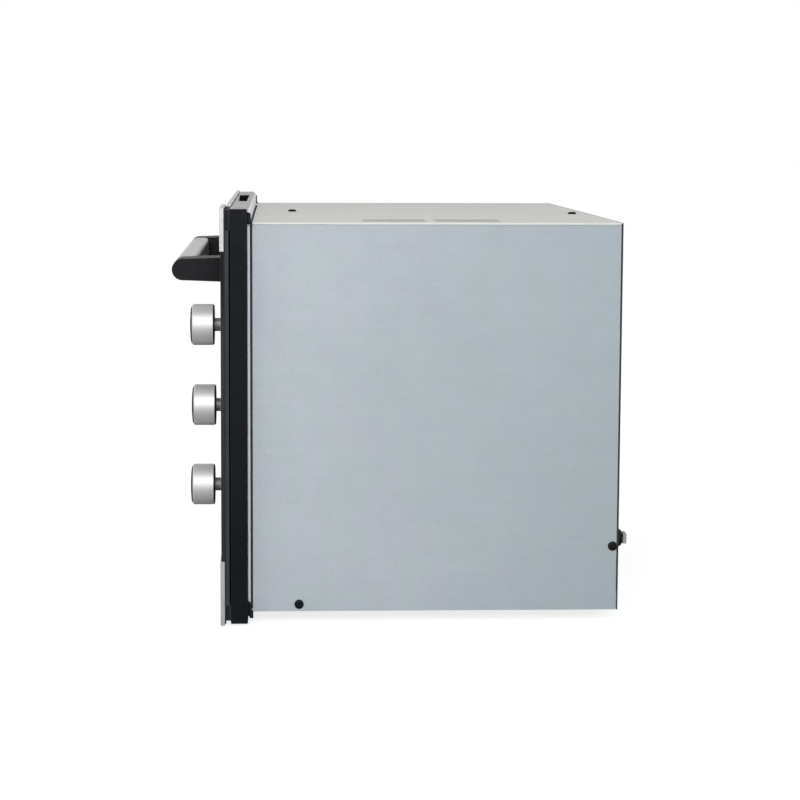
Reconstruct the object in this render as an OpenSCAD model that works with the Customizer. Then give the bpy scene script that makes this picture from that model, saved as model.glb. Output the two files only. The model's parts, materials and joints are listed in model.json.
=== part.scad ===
// Compact built-in electric deck oven: galvanised casing, black front bezel, drop-down glass door on the left
// and a column of three knobs on the right. Millimetres. Origin: centre of the casing's underside,
// +X right as seen from the front, +Y to the back, +Z up.

/* [Casing] */
// Width of the casing across the folded lips of its top
casing_w = 558; // [520:1:680]
// Depth of the casing from its front edge to the back panel
casing_d = 366.8; // [330:0.1:460]
// Height of the casing
casing_h = 389.5; // [370:0.5:480]
// Thickness of the casing's galvanised sheet
sheet_t = 1; // [0.8:0.1:1.5]
// Height of the lip that the top folds over each side
lip_h = 2; // [2:0.5:6]
// Width of the inner flanges that the screws go through
flange_w = 12; // [11:0.5:18]

/* [Front] */
// How far the bezel stands out past the casing at each side
bezel_over = 12.5; // [8:0.5:20]
// How far the bezel hangs below the casing
bezel_drop = 9.3; // [6:0.1:14]
// How far the bezel rises above the casing
bezel_rise = 13.6; // [10:0.1:18]
// Depth of the bezel
bezel_d = 17; // [16:0.5:22]
// Thickness of the metal plate behind the bezel
plate_t = 2.5; // [1.5:0.1:3]
// Thickness of the foam seal between the plate and the casing
seal_t = 2.5; // [2:0.1:4]
// Width of the control column
column_w = 95.5; // [90:0.5:110]
// Height of the steel strip along the top of the front
top_strip_h = 43; // [30:0.5:60]
// Height of the steel strip along the foot of the front
foot_strip_h = 64.8; // [56:0.2:70]
// Thickness of the front glass
glass_t = 3.3; // [3:0.1:4]
// Thickness of the steel strips
strip_t = 1; // [0.6:0.1:1.5]

/* [Cavity] */
// Clear width of the baking cavity
cavity_w = 390; // [340:1:400]
// Clear height of the baking cavity
cavity_h = 270; // [250:1:280]
// Clear depth of the baking cavity behind the front plate
cavity_d = 315; // [270:1:318]
// Thickness of the cavity's mineral wool
wool_t = 20; // [14:1:20]
// Thickness of the stone deck
deck_t = 12; // [8:1:16]

/* [Handle] */
// Length of the door handle over both end brackets
handle_l = 460; // [380:1:470]
// Distance from the door glass to the handle's nose
handle_reach = 57.9; // [50:0.1:70]
// Height of the handle bar
handle_h = 22; // [18:0.5:26]
// Width of each handle end bracket
handle_end_w = 44; // [30:1:50]

/* [Knobs] */
// Outer diameter of a knob
knob_d = 41.1; // [34:0.1:46]
// Length of a knob's metal sleeve
knob_l = 21; // [16:0.5:26]
// Spacing between the knobs
knob_pitch = 81; // [60:0.5:85]
// Diameter of the knob spindles
spindle_d = 6; // [5:0.5:7]

/* [Hinge] */
// Diameter of the door hinge pins
hinge_pin_d = 5; // [4:0.5:5]
// Radial clearance of a part that turns in a hole
running_gap = 0.05; // [0.02:0.01:0.08]

/* [Hidden] */

$fn = 48;
eps = 0.01;          // overlap that keeps a cut from leaving a skin
seat_gap = 0.3;      // space between a loose piece and what it rests on
panel_gap = 0.8;     // space between the back panel and the side panels' rear edges
through = 20;        // extra length of a cutting tool past the material

// Casing planes
half_w = casing_w / 2;
front_y = -casing_d / 2;
rear_y = casing_d / 2;
side_x = half_w - sheet_t;              // outer face of a side panel
side_in = side_x - sheet_t;             // inner face of a side panel
top_in = casing_h - sheet_t;            // underside of the top panel
back_t = 1.2;                           // thickness of the back panel
back_in = rear_y - back_t;              // inner face of the back panel
side_rear = back_in - panel_gap;        // rear edge of a side panel

// Front planes, from the casing forward
plate_rear = front_y - seal_t;
plate_front = plate_rear - plate_t;
bezel_rear = plate_front;
bezel_front = bezel_rear - bezel_d;
bezel_half = half_w + bezel_over;
bezel_foot = -bezel_drop;
bezel_top = casing_h + bezel_rise;
front_foot = bezel_foot - 2;            // foot of the glass front
front_top = bezel_top + 1.4;            // top of the glass front

// Control column: carrier, gasket, glass and strips, from the bezel forward
carrier_gap = 1.2;
carrier_t = 3.4;
gasket_t = 1.3;
carrier_front = bezel_front - carrier_gap - carrier_t;
gasket_front = carrier_front - gasket_t;
column_glass_front = gasket_front - glass_t;
column_x = bezel_half - column_w;       // left edge of the column
carrier_inset = 3;                      // how far the carrier stays inside the glass
carrier_foot = front_foot + 20.5;
carrier_top = front_top - 22.5;

// Door and fascia planes
leaf_gap = 0.8;                         // space between the door glass and the bezel
edge_gap = 1.5;                         // space between the door and the column
leaf_rear = bezel_front - leaf_gap;
leaf_front = leaf_rear - glass_t;
door_right = column_x - edge_gap;
door_left = -bezel_half + 1.2;
fascia_top = front_foot + foot_strip_h;
strip_foot = front_top - top_strip_h;   // lower edge of the top strips

// Baking cavity
cavity_x = -43;                         // middle of the cavity
cavity_z = 80;                          // inner floor of the cavity
liner_t = 1;
cavity_l = cavity_x - cavity_w / 2;
cavity_r = cavity_x + cavity_w / 2;
cavity_top = cavity_z + cavity_h;
cavity_rear = plate_rear + cavity_d;

// Door opening through the bezel
opening_margin = 24;                    // bezel opening past the cavity's sides
opening_l = cavity_l - opening_margin;
opening_r = cavity_r + opening_margin;
opening_foot = 48;
opening_top = cavity_top + 26;

// Hinge axis
hinge_y = bezel_front + 3.9;
hinge_z = fascia_top + 8.5;
door_foot = hinge_z - 0.5;
frame_foot = hinge_z + 0.5;
frame_gap = 8;                          // space between the door frame and the opening
frame_l = opening_l + frame_gap;
frame_r = opening_r - frame_gap;
frame_top = opening_top - 6;
door_gasket_t = 2;
frame_rear = plate_front - door_gasket_t - 0.2;
frame_t = 1.6;
arm_t = 3;
pin_r = hinge_pin_d / 2;
arm_r = hinge_y - leaf_rear - 0.2;      // round foot of a hinge arm
bracket_t = 3.5;

// Knobs
knob_r = knob_d / 2;
knob_x = column_x + column_w / 2;
knob_mid_z = 204.5;
knob_rear = column_glass_front - 7.4;   // rear face of a knob
rim_t = 1;                              // black rim behind the sleeve
cap_h = 2;                              // dome in front of the sleeve
collar_r = 6.6;                         // thick stretch of the spindle behind the knob
collar_hole_r = 7.2;
spindle_r = spindle_d / 2;
bracket_y = front_y + 3;                // front face of the control bracket
control_sheet_t = 1.2;
switch_front = bracket_y + control_sheet_t;
switch_d = 30;
switch_w = 44;
bush_r = 4.8;
bush_l = 7;
spindle_end = switch_front + 16;

// Handle
handle_r = handle_h / 2;
handle_z = strip_foot - 24.5;
handle_right = door_right - 4.5;
handle_left = handle_right - handle_l;
nose_y = leaf_front - handle_reach + handle_r;
grip_rear = nose_y + 13;

// Rack and its guides
rod_r = 2.5;
wire_r = 1.5;
guide_x = rod_r + 3;                    // guide rods stand off the cavity walls by this much
guide_levels = [cavity_z + 65, cavity_z + 105, cavity_z + 145];
rack_level = guide_levels[1];
rack_step = 2.3;                        // the rack's side rods sit this far inboard of the guide rods
rack_z = rack_level + sqrt(pow(2 * rod_r + seat_gap, 2) - pow(rack_step, 2));
rack_l = cavity_l + guide_x + rack_step;
rack_r = cavity_r - guide_x - rack_step;
rack_front = plate_rear + 21;
rack_back = cavity_rear - 30;
tray_z = rack_z + rod_r + 2 * wire_r - 1;

// Cooling fan, lying flat under the slots of the top
fan_w = 80;
fan_h = 25;
fan_x = side_in - 48;
fan_y = -4;
fan_top = top_in - 10;
divider_x = column_x - 16;

// Screw positions
screw_r = 1.9;
screw_hole_r = screw_r + 0.1;
screw_head_r = 4.6;
screw_head_h = 2.4;
side_screw_front = [front_y + 46, 7.3];
side_screw_rear = [rear_y - 6, 65];
top_screws = [[0, front_y + 41], [62, rear_y - 20]];

// Vent in the bezel's top
vent_l = -143;
vent_r = 67;
vent_front = bezel_front + 1.6;
vent_rear = bezel_rear - 3.8;
vent_floor = top_in - 8;

// Cable gland on the back panel
gland_x = side_in - 27;
gland_z = 68;
gland_r = 9;
gland_l = 8.2;
cord_hole_r = 3.5;

// ---- Helpers ----

// Block between two opposite corners
module block(low, high) { translate(low) cube(high - low); }

// Round bars along each axis
module bar_x(x0, x1, y, z, r) { translate([x0, y, z]) rotate([0, 90, 0]) cylinder(r = r, h = x1 - x0); }
module bar_y(x, y0, y1, z, r) { translate([x, y0, z]) rotate([-90, 0, 0]) cylinder(r = r, h = y1 - y0); }
module bar_z(x, y, z0, z1, r) { translate([x, y, z0]) cylinder(r = r, h = z1 - z0); }

// Both signs of X
module both_sides() {
    children();
    mirror([1, 0, 0]) children();
}

// Upright plate with one window; corners are [x, z]
module window_plate(low, high, win_low, win_high, y0, y1) {
    difference() {
        block([low[0], y0, low[1]], [high[0], y1, high[1]]);
        block([win_low[0], y0 - eps, win_low[1]], [win_high[0], y1 + eps, win_high[1]]);
    }
}

// Profile in [radius, length] turned about a line along Y that starts at y and runs to the back
module turned_y(x, y, z, profile) {
    translate([x, y, z]) rotate([-90, 0, 0]) rotate_extrude() polygon(profile);
}

// ---- Casing ----

// Holes for the screws of one side panel and the flanges behind it
module side_screw_holes() {
    bar_x(side_in - through, side_x + through, side_screw_front[0], side_screw_front[1], screw_hole_r);
    bar_x(side_in - through, side_x + through, side_screw_rear[0], side_screw_rear[1], screw_hole_r);
}

module side_panel() {
    difference() {
        union() {
            block([side_in, front_y, 0], [side_x, side_rear, top_in]);
            block([side_x - flange_w, front_y, 0], [side_x, front_y + sheet_t, top_in]);
        }
        side_screw_holes();
    }
}

module casing_side_right() { color("lightsteelblue") side_panel(); }

module casing_side_left() { color("lightsteelblue") mirror([1, 0, 0]) side_panel(); }

// Two groups of ventilation slots over the control compartment
slot_w = 4;
slot_pitch = 9.6;
slot_count = 6;
slot_groups = [[110, 63], [183, 65]];   // distance behind the front edge, and length
slot_x = half_w - 75;

module casing_top() {
    color("gainsboro") difference() {
        union() {
            block([-half_w, front_y, top_in], [half_w, back_in, casing_h]);
            both_sides() block([side_x, front_y, casing_h - lip_h], [half_w, side_rear, casing_h]);
        }
        for (group = slot_groups, i = [0 : slot_count - 1])
            block([slot_x + i * slot_pitch, front_y + group[0], top_in - eps],
                  [slot_x + i * slot_pitch + slot_w, front_y + group[0] + group[1], casing_h + eps]);
        for (p = top_screws) bar_z(p[0], p[1], top_in - eps, casing_h + eps, screw_hole_r);
    }
}

base_flange_h = 20;

module casing_base() {
    color("silver") difference() {
        union() {
            block([-side_in, front_y + sheet_t, 0], [side_in, back_in, sheet_t]);
            both_sides() block([side_in - sheet_t, front_y + sheet_t, 0], [side_in, back_in, base_flange_h]);
        }
        both_sides() side_screw_holes();
    }
}

back_screw_inset = 60;

module casing_back() {
    color("dimgray") difference() {
        union() {
            block([-side_x, back_in, 0], [side_x, rear_y, casing_h]);
            both_sides() block([side_in - sheet_t, back_in - flange_w, base_flange_h + 1],
                               [side_in, back_in + eps, top_in]);
            block([-side_in + through, back_in - 2 * flange_w, top_in - sheet_t],
                  [side_in - through, back_in + eps, top_in]);
        }
        both_sides() side_screw_holes();
        bar_z(top_screws[1][0], top_screws[1][1], top_in - through, top_in + eps, screw_hole_r);
        bar_y(gland_x, back_in - through, rear_y + eps, gland_z, gland_neck_r);
        for (x = [-side_x + back_screw_inset, side_x - back_screw_inset])
            bar_y(x, back_in - through, rear_y + eps, base_flange_h / 2, screw_hole_r);
    }
}

// Pan-head screw with a cross recess; the head's seat is at the origin and the shank runs to -Z
screw_l = 7;

module screw(length = screw_l) {
    recess_w = 1.1;
    difference() {
        union() {
            translate([0, 0, -length]) cylinder(r = screw_r, h = length + eps);
            rotate_extrude() polygon([
                [0, 0], [screw_head_r, 0], [screw_head_r, screw_head_h * 0.45],
                [screw_head_r * 0.8, screw_head_h * 0.85], [screw_head_r * 0.45, screw_head_h], [0, screw_head_h]
            ]);
        }
        for (turn = [0, 90]) rotate([0, 0, turn])
            translate([-screw_head_r / 2, -recess_w / 2, screw_head_h / 2])
                cube([screw_head_r, recess_w, screw_head_h]);
    }
}

module casing_screws() {
    color("black") {
        both_sides() {
            translate([side_x, side_screw_front[0], side_screw_front[1]]) rotate([0, 90, 0]) screw();
            translate([side_x, side_screw_rear[0], side_screw_rear[1]]) rotate([0, 90, 0]) screw();
        }
        for (p = top_screws) translate([p[0], p[1], casing_h]) screw();
        for (x = [-side_x + back_screw_inset, side_x - back_screw_inset])
            translate([x, rear_y, base_flange_h / 2]) rotate([-90, 0, 0]) screw();
    }
}

module top_crossbar() {
    color("silver") difference() {
        block([-side_in, top_screws[0][1] - 8, top_in - flange_w], [side_in, top_screws[0][1] + 8, top_in]);
        block([-side_in - eps, top_screws[0][1] - 8 + sheet_t, top_in - flange_w - eps],
              [side_in + eps, top_screws[0][1] + 8 - sheet_t, top_in - sheet_t]);
        bar_z(top_screws[0][0], top_screws[0][1], top_in - through, top_in + eps, screw_hole_r);
    }
}

// Sheet wall between the hot cavity and the control compartment
module compartment_divider() {
    color("silver") difference() {
        union() {
            block([divider_x, front_y + sheet_t, sheet_t], [divider_x + sheet_t, back_in - 2, top_in]);
            block([divider_x, front_y + sheet_t, sheet_t], [divider_x + flange_w, back_in - 2, 2 * sheet_t]);
        }
        block([divider_x - eps, top_screws[0][1] - 8.5, top_in - flange_w - 0.5],
              [divider_x + sheet_t + eps, top_screws[0][1] + 8.5, top_in + eps]);
        block([divider_x - eps, back_in - 2 * flange_w - 0.5, top_in - sheet_t - 0.5],
              [divider_x + sheet_t + eps, back_in, top_in + eps]);
    }
}

// ---- Front ----

plate_top = casing_h + 12;
air_window = [[vent_l + 3, vent_floor], [vent_r - 3, top_in - 1]];
control_window = [[column_x + 8, 60], [bezel_half - 21, 350]];

module front_plate() {
    color("white") difference() {
        window_plate([-half_w - 0.5, 0], [half_w + 0.5, plate_top],
                     [cavity_l, cavity_z], [cavity_r, cavity_top], plate_front, plate_rear);
        for (w = [air_window, control_window])
            block([w[0][0], plate_front - eps, w[0][1]], [w[1][0], plate_rear + eps, w[1][1]]);
    }
}

seal_w = 12;

module front_seal() {
    color("dimgray")
        window_plate([-half_w + 2.5, 2], [half_w - 2.5, casing_h - 2.5],
                     [-half_w + 2.5 + seal_w, 2 + seal_w], [half_w - 2.5 - seal_w, vent_floor],
                     plate_rear, front_y);
}

// Clearance cut in the bezel for the lower edge of the door glass as it swings in
module glass_swing_cut(x0, x1) {
    block([x0, bezel_front - eps, hinge_z - 10], [x1, hinge_y + 1.5, hinge_z + 0.5]);
}

module bezel_frame() {
    color("#1a1c22") difference() {
        window_plate([-bezel_half, bezel_foot], [bezel_half, bezel_top],
                     [opening_l, opening_foot], [opening_r, opening_top], bezel_front, bezel_rear);
        block([control_window[0][0], bezel_front - eps, control_window[0][1]],
              [control_window[1][0], bezel_rear + eps, control_window[1][1]]);
        block([vent_l, vent_front, vent_floor], [vent_r, vent_rear, bezel_top + eps]);
        block([air_window[0][0], vent_front, vent_floor], [air_window[1][0], bezel_rear + eps, top_in - 1]);
        glass_swing_cut(door_left - 0.4, opening_l + eps);
        glass_swing_cut(opening_r - eps, door_right + 0.5);
        // room for the handle's screw heads, wherever the bezel reaches behind them
        for (x = handle_screw_x)
            bar_y(x, bezel_front - eps, leaf_rear + handle_head_h + 0.5, handle_z, handle_head_r + 1);
    }
}

// Moulded clips in the gap behind the bezel's corners; outlines are [depth behind the bezel, height]
clip_w = 5.5;
clip_d = plate_t + seal_t + 0.3;
upper_clip = [[0, -1.5], [clip_d, -1.5], [clip_d - 0.4, -0.2], [clip_d - 1.5, 0.9], [clip_d - 1.8, 8.5],
              [clip_d - 2.5, 9.7], [0, 10]];
lower_clip = [[0, 12], [clip_d - 1.8, 8.8], [clip_d - 1.4, 2.6], [clip_d, 1.4], [clip_d, -5.3],
              [1.6, -5.3], [1.2, -3.4], [0, -2.8]];

module corner_spacers() {
    color("black") both_sides() {
        translate([0, plate_front, casing_h]) along_x(half_w + 0.5, half_w + 0.5 + clip_w) polygon(upper_clip);
        translate([0, plate_front, 0]) along_x(half_w + 0.5, half_w + 0.5 + clip_w) polygon(lower_clip);
    }
}

// ---- Cavity ----

module support_rails() {
    color("silver") for (x = [cavity_l + 25, cavity_r - 55]) difference() {
        block([x, plate_rear + 24, sheet_t], [x + 30, cavity_rear, cavity_z - liner_t - wool_t]);
        block([x + sheet_t, plate_rear + 24 - eps, sheet_t - eps],
              [x + 30 - sheet_t, cavity_rear + eps, cavity_z - liner_t - wool_t - sheet_t]);
    }
}

lamp_x = cavity_l + 70;
lamp_z = cavity_top - 60;
lamp_r = 17;
heater_r = 3.2;
heater_span = 40;                       // spacing between a heater's two tails
upper_heater_z = cavity_top - 16;
lower_heater_z = cavity_z + 10;
heater_tails = [cavity_x - heater_span / 2, cavity_x + heater_span / 2];
tail_hole_r = heater_r + 0.5;
heater_flange_h = 14;
heater_flange_t = 1.5;

// Holes through the cavity's rear wall for the lamp and the heater tails
module rear_wall_holes(extra = 0) {
    bar_y(lamp_x, cavity_rear - through, cavity_rear + liner_t + wool_t + through, lamp_z, lamp_r + 0.3 + extra);
    for (x = heater_tails, z = [upper_heater_z, lower_heater_z])
        bar_y(x, cavity_rear - through, cavity_rear + liner_t + wool_t + through, z, tail_hole_r + extra);
}

module cavity_liner() {
    color("#3a3f46") difference() {
        block([cavity_l - liner_t, plate_rear, cavity_z - liner_t],
              [cavity_r + liner_t, cavity_rear + liner_t, cavity_top + liner_t]);
        block([cavity_l, plate_rear - eps, cavity_z], [cavity_r, cavity_rear, cavity_top]);
        rear_wall_holes();
    }
}

wool_front = plate_rear + seal_w;

module insulation_blanket() {
    color("khaki") difference() {
        block([cavity_l - liner_t - wool_t, wool_front, cavity_z - liner_t - wool_t],
              [cavity_r + liner_t + wool_t, cavity_rear + liner_t + wool_t, cavity_top + liner_t + wool_t]);
        block([cavity_l - liner_t, wool_front - eps, cavity_z - liner_t],
              [cavity_r + liner_t, cavity_rear + liner_t, cavity_top + liner_t]);
        rear_wall_holes(extra = 3);
        for (z = [upper_heater_z, lower_heater_z])
            block([cavity_x - heater_span - 1, cavity_rear, z - heater_flange_h / 2 - 1],
                  [cavity_x + heater_span + 1, cavity_rear + liner_t + heater_flange_t + 1, z + heater_flange_h / 2 + 1]);
    }
}

module door_gasket() {
    gasket_w = 7;
    color("black")
        window_plate([cavity_l - gasket_w - 1, cavity_z - gasket_w - 1],
                     [cavity_r + gasket_w + 1, cavity_top + gasket_w + 1],
                     [cavity_l - 1, cavity_z - 1], [cavity_r + 1, cavity_top + 1],
                     plate_front - door_gasket_t, plate_front);
}

deck_z = cavity_z + 24;                 // underside of the stone deck
ledge_w = 14;
ledge_t = 2;

module deck_rails() {
    color("silver") for (side = [0, 1])
        translate([cavity_x, 0, 0]) mirror([side, 0, 0]) union() {
            block([cavity_w / 2 - ledge_w, plate_rear + 8, deck_z - ledge_t],
                  [cavity_w / 2, cavity_rear - 12, deck_z]);
            block([cavity_w / 2 - ledge_t, plate_rear + 8, deck_z - ledge_w],
                  [cavity_w / 2, cavity_rear - 12, deck_z]);
        }
}

module deck_stone() {
    color("tan") block([cavity_l + 5, plate_rear + 10, deck_z], [cavity_r - 5, cavity_rear - 14, deck_z + deck_t]);
}

// Tubular heater: a flat loop of four runs joined by round bends, its two tails through the rear wall
module heater(z) {
    bend_r = 35;
    run_front = plate_rear + 60;
    run_rear = cavity_rear - 45;
    outer_run = heater_span / 2 + 2 * bend_r;
    for (side = [0, 1]) translate([cavity_x, 0, z]) mirror([side, 0, 0]) {
        // inner run with its tail, outer run, front bend
        bar_y(heater_span / 2, run_front, cavity_rear + liner_t + 32, 0, heater_r);
        bar_y(outer_run, run_front, run_rear, 0, heater_r);
        translate([heater_span / 2 + bend_r, run_front, 0]) rotate([0, 0, 180])
            rotate_extrude(angle = 180) translate([bend_r, 0]) circle(r = heater_r);
        // rear bend out to a third run
        translate([outer_run + bend_r / 2, run_rear, 0])
            rotate_extrude(angle = 180) translate([bend_r / 2, 0]) circle(r = heater_r);
        bar_y(outer_run + bend_r, run_front + bend_r, run_rear, 0, heater_r);
        translate([outer_run + bend_r, run_front + bend_r, 0]) sphere(r = heater_r);
    }
    // mounting flange behind the rear wall, and the terminals
    translate([cavity_x, 0, z]) {
        difference() {
            block([-heater_span, cavity_rear + liner_t, -heater_flange_h / 2],
                  [heater_span, cavity_rear + liner_t + heater_flange_t, heater_flange_h / 2]);
            for (x = [-heater_span / 2, heater_span / 2])
                bar_y(x, cavity_rear, cavity_rear + through, 0, heater_r - 0.5);
        }
        for (x = [-heater_span / 2, heater_span / 2])
            block([x - 3, cavity_rear + liner_t + 31, -0.4], [x + 3, cavity_rear + liner_t + 40, 0.4]);
    }
}

module upper_heater() { color("dimgray") heater(upper_heater_z); }

module lower_heater() { color("dimgray") heater(lower_heater_z); }

// Wire ladders on both cavity walls
module rack_guides() {
    guide_front = plate_rear + 20;
    guide_rear = cavity_rear - 20;
    lead = 12;
    color("silver") for (side = [0, 1]) translate([cavity_x, 0, 0]) mirror([side, 0, 0]) {
        for (y = [guide_front + lead, guide_rear - lead])
            bar_z(cavity_w / 2 - rod_r, y, guide_levels[0] - 14, guide_levels[2] + 30, rod_r);
        for (level = guide_levels, rise = [0, 16])
            bar_y(cavity_w / 2 - guide_x, guide_front, guide_rear, level + rise, rod_r);
    }
}

module lamp_holder() {
    color("ivory") union() {
        difference() {
            bar_y(lamp_x, cavity_rear + liner_t, cavity_rear + liner_t + 30, lamp_z, lamp_r);
            bar_y(lamp_x, cavity_rear, cavity_rear + liner_t + 24, lamp_z, lamp_r - 2);
        }
        bar_y(lamp_x, cavity_rear + liner_t + 14, cavity_rear + liner_t + 24 + eps, lamp_z, 7);
    }
}

module lamp_bulb() {
    color("white") union() {
        bar_y(lamp_x, cavity_rear - 4, cavity_rear + liner_t + 14, lamp_z, 6);
        translate([lamp_x, cavity_rear - 4, lamp_z]) sphere(r = 9);
    }
}

module lamp_lens() {
    lens_l = 18;
    color("lightcyan") difference() {
        union() {
            bar_y(lamp_x, cavity_rear - lens_l, cavity_rear, lamp_z, lamp_r);
            bar_y(lamp_x, cavity_rear - 4, cavity_rear, lamp_z, lamp_r + 5);
        }
        bar_y(lamp_x, cavity_rear - lens_l + 2, cavity_rear + eps, lamp_z, lamp_r - 2.5);
    }
}

// ---- Control compartment ----

module fan_frame() {
    duct_r = fan_w / 2 - 3;
    hub_r = 14;
    color("black") difference() {
        union() {
            difference() {
                block([fan_x - fan_w / 2, fan_y - fan_w / 2, fan_top - fan_h],
                      [fan_x + fan_w / 2, fan_y + fan_w / 2, fan_top]);
                bar_z(fan_x, fan_y, fan_top - fan_h - eps, fan_top + eps, duct_r);
            }
            bar_z(fan_x, fan_y, fan_top - fan_h, fan_top - fan_h + 6, hub_r);
            for (turn = [0, 120, 240]) translate([fan_x, fan_y, fan_top - fan_h]) rotate([0, 0, turn])
                translate([0, -2, 0]) cube([duct_r + 1, 4, 4]);
            // feet that reach the divider
            block([divider_x + sheet_t, fan_y - fan_w / 2, fan_top - fan_h],
                  [fan_x - fan_w / 2 + 1, fan_y + fan_w / 2, fan_top - fan_h + 4]);
        }
        bar_z(fan_x, fan_y, fan_top - fan_h + 2, fan_top - fan_h + through, fan_pin_r + running_gap);
    }
}

fan_pin_r = 1.5;

module fan_impeller() {
    blades = 7;
    hub_r = 15;
    blade_l = fan_w / 2 - 5 - hub_r;
    hub_foot = fan_top - fan_h + 7;
    color("black") union() {
        bar_z(fan_x, fan_y, hub_foot, fan_top - 2, hub_r);
        bar_z(fan_x, fan_y, hub_foot - 4.5, hub_foot + eps, fan_pin_r);
        for (i = [0 : blades - 1]) translate([fan_x, fan_y, hub_foot + 8]) rotate([0, 0, i * 360 / blades])
            translate([hub_r - 1, 0, 0]) rotate([32, 0, 0]) translate([0, -9, -0.8]) cube([blade_l + 1, 18, 1.6]);
    }
}

knob_sit = [0, 1.3, 0];                 // the middle knob is seated deeper
function knob_z(i) = knob_mid_z + (1 - i) * knob_pitch;

module spindle_holes(y0, y1, r) { for (i = [0 : 2]) bar_y(knob_x, y0, y1, knob_z(i), r); }

module control_carrier() {
    color("gray") difference() {
        union() {
            block([column_x + carrier_inset, carrier_front, carrier_foot],
                  [bezel_half, carrier_front + carrier_t, carrier_top]);
            for (z = [control_window[0][1] - 25, control_window[1][1] + 15])
                block([column_x + 20, carrier_front + carrier_t - eps, z], [bezel_half - 20, bezel_front, z + 10]);
        }
        spindle_holes(carrier_front - eps, carrier_front + through, collar_hole_r);
    }
}

// Foam sheet behind the glass, with thick pads at both ends that reach the bezel
module control_gasket() {
    pad_margin = 2.5;
    color("black") difference() {
        union() {
            block([column_x + 2, gasket_front, front_foot + 2], [bezel_half - 0.6, carrier_front, front_top - 2]);
            for (z = [[bezel_foot + 3, carrier_foot], [carrier_top, front_top - pad_margin]])
                block([column_x + carrier_inset, carrier_front - eps, z[0]], [bezel_half - 1, bezel_front, z[1]]);
        }
        spindle_holes(gasket_front - eps, carrier_front + eps, collar_hole_r);
    }
}

module control_glass() {
    color("#101114") difference() {
        union() {
            block([column_x, column_glass_front, fascia_top], [bezel_half, gasket_front, strip_foot]);
            block([column_x + strip_t, column_glass_front, front_foot + strip_t],
                  [bezel_half - strip_t, gasket_front, front_top - strip_t]);
        }
        spindle_holes(column_glass_front - eps, gasket_front + eps, collar_hole_r);
    }
}

// Steel cap folded over the front, the sides and one or both ends of a panel; corners are [x, z]
module edge_cap(low, high, panel_front, panel_rear, foot_wall = 0, top_wall = 0) {
    color("silver") difference() {
        block([low[0], panel_front - strip_t, low[1]], [high[0], panel_rear, high[1]]);
        block([low[0] + strip_t, panel_front, low[1] + (foot_wall > 0 ? foot_wall : -eps)],
              [high[0] - strip_t, panel_rear + eps, high[1] - (top_wall > 0 ? top_wall : -eps)]);
    }
}

module control_strip_top() {
    edge_cap([column_x, strip_foot], [bezel_half, front_top], column_glass_front, gasket_front, top_wall = strip_t);
}

module control_strip_foot() {
    edge_cap([column_x, front_foot], [bezel_half, fascia_top], column_glass_front, gasket_front, foot_wall = strip_t);
}

module control_bracket() {
    color("silver") difference() {
        union() {
            block([divider_x + sheet_t, bracket_y, 60], [side_in, bracket_y + control_sheet_t, 350]);
            block([divider_x + sheet_t, bracket_y, 60], [divider_x + sheet_t + 1, bracket_y + flange_w, 350]);
        }
        spindle_holes(bracket_y - eps, bracket_y + control_sheet_t + eps, bush_r + 0.2);
    }
}

// Rotary control body behind the bracket with its bush through it
module rotary_control(i, depth) {
    difference() {
        union() {
            block([knob_x - switch_w / 2, switch_front, knob_z(i) - switch_w / 2],
                  [knob_x + switch_w / 2, switch_front + depth, knob_z(i) + switch_w / 2]);
            bar_y(knob_x, switch_front - bush_l, switch_front + eps, knob_z(i), bush_r);
        }
        bar_y(knob_x, switch_front - bush_l - eps, spindle_end + 2, knob_z(i), spindle_r + running_gap);
    }
    for (x = [-12, 0, 12])
        block([knob_x + x - 3, switch_front + depth, knob_z(i) - 0.5],
              [knob_x + x + 3, switch_front + depth + 9, knob_z(i) + 0.5]);
}

module thermostat() { color("ivory") rotary_control(0, switch_d); }

module function_switch() { color("white") rotary_control(1, switch_d + 12); }

module timer() { color("beige") rotary_control(2, switch_d + 6); }

module terminal_block() {
    block_l = 48;
    block_d = 16;
    block_l0 = gland_x - 16 - block_l;
    color("ivory") difference() {
        block([block_l0, back_in - block_d, gland_z - 9], [block_l0 + block_l, back_in, gland_z + 9]);
        for (i = [0 : 3]) bar_z(block_l0 + 6 + i * 12, back_in - block_d / 2, gland_z, gland_z + 10, 2.6);
    }
}

gland_neck_r = gland_r - 2.5;
gland_nut_l = 6;

// Domed cable gland with its nut inside the back panel
module cable_gland() {
    color("black") difference() {
        union() {
            turned_y(gland_x, rear_y, gland_z, [
                [0, 0], [gland_r, 0], [gland_r, gland_l - 3.6], [gland_r - 0.7, gland_l - 2],
                [gland_r - 2.2, gland_l - 0.7], [gland_r - 3.8, gland_l], [0, gland_l]
            ]);
            bar_y(gland_x, back_in - gland_nut_l, rear_y + eps, gland_z, gland_neck_r - 0.1);
            bar_y(gland_x, back_in - gland_nut_l, back_in - eps, gland_z, gland_r);
        }
        bar_y(gland_x, back_in - gland_nut_l - eps, rear_y + gland_l + eps, gland_z, cord_hole_r);
    }
}

// Metal clamp plate on the gland's mouth
module cord_clamp() {
    clamp_h = 2 * cord_hole_r + 3;
    clamp_t = 3.6;
    color("gray") difference() {
        block([gland_x - 7, rear_y + gland_l, gland_z - clamp_h / 2],
              [gland_x + 7, rear_y + gland_l + clamp_t, gland_z + clamp_h / 2]);
        bar_y(gland_x, rear_y, rear_y + gland_l + through, gland_z, cord_hole_r + 0.5);
    }
}

// ---- Lower fascia and hinge brackets ----

module lower_fascia() {
    color("#101114") union() {
        block([door_left + strip_t, leaf_front, front_foot + strip_t],
              [door_right - strip_t, leaf_rear, fascia_top - strip_t]);
        for (x = [opening_l, opening_r - 40])
            block([x, leaf_rear - eps, front_foot + 10], [x + 40, bezel_front, front_foot + 20]);
    }
}

module fascia_strip() {
    edge_cap([door_left, front_foot], [door_right, fascia_top], leaf_front, leaf_rear, strip_t, strip_t);
}

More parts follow.
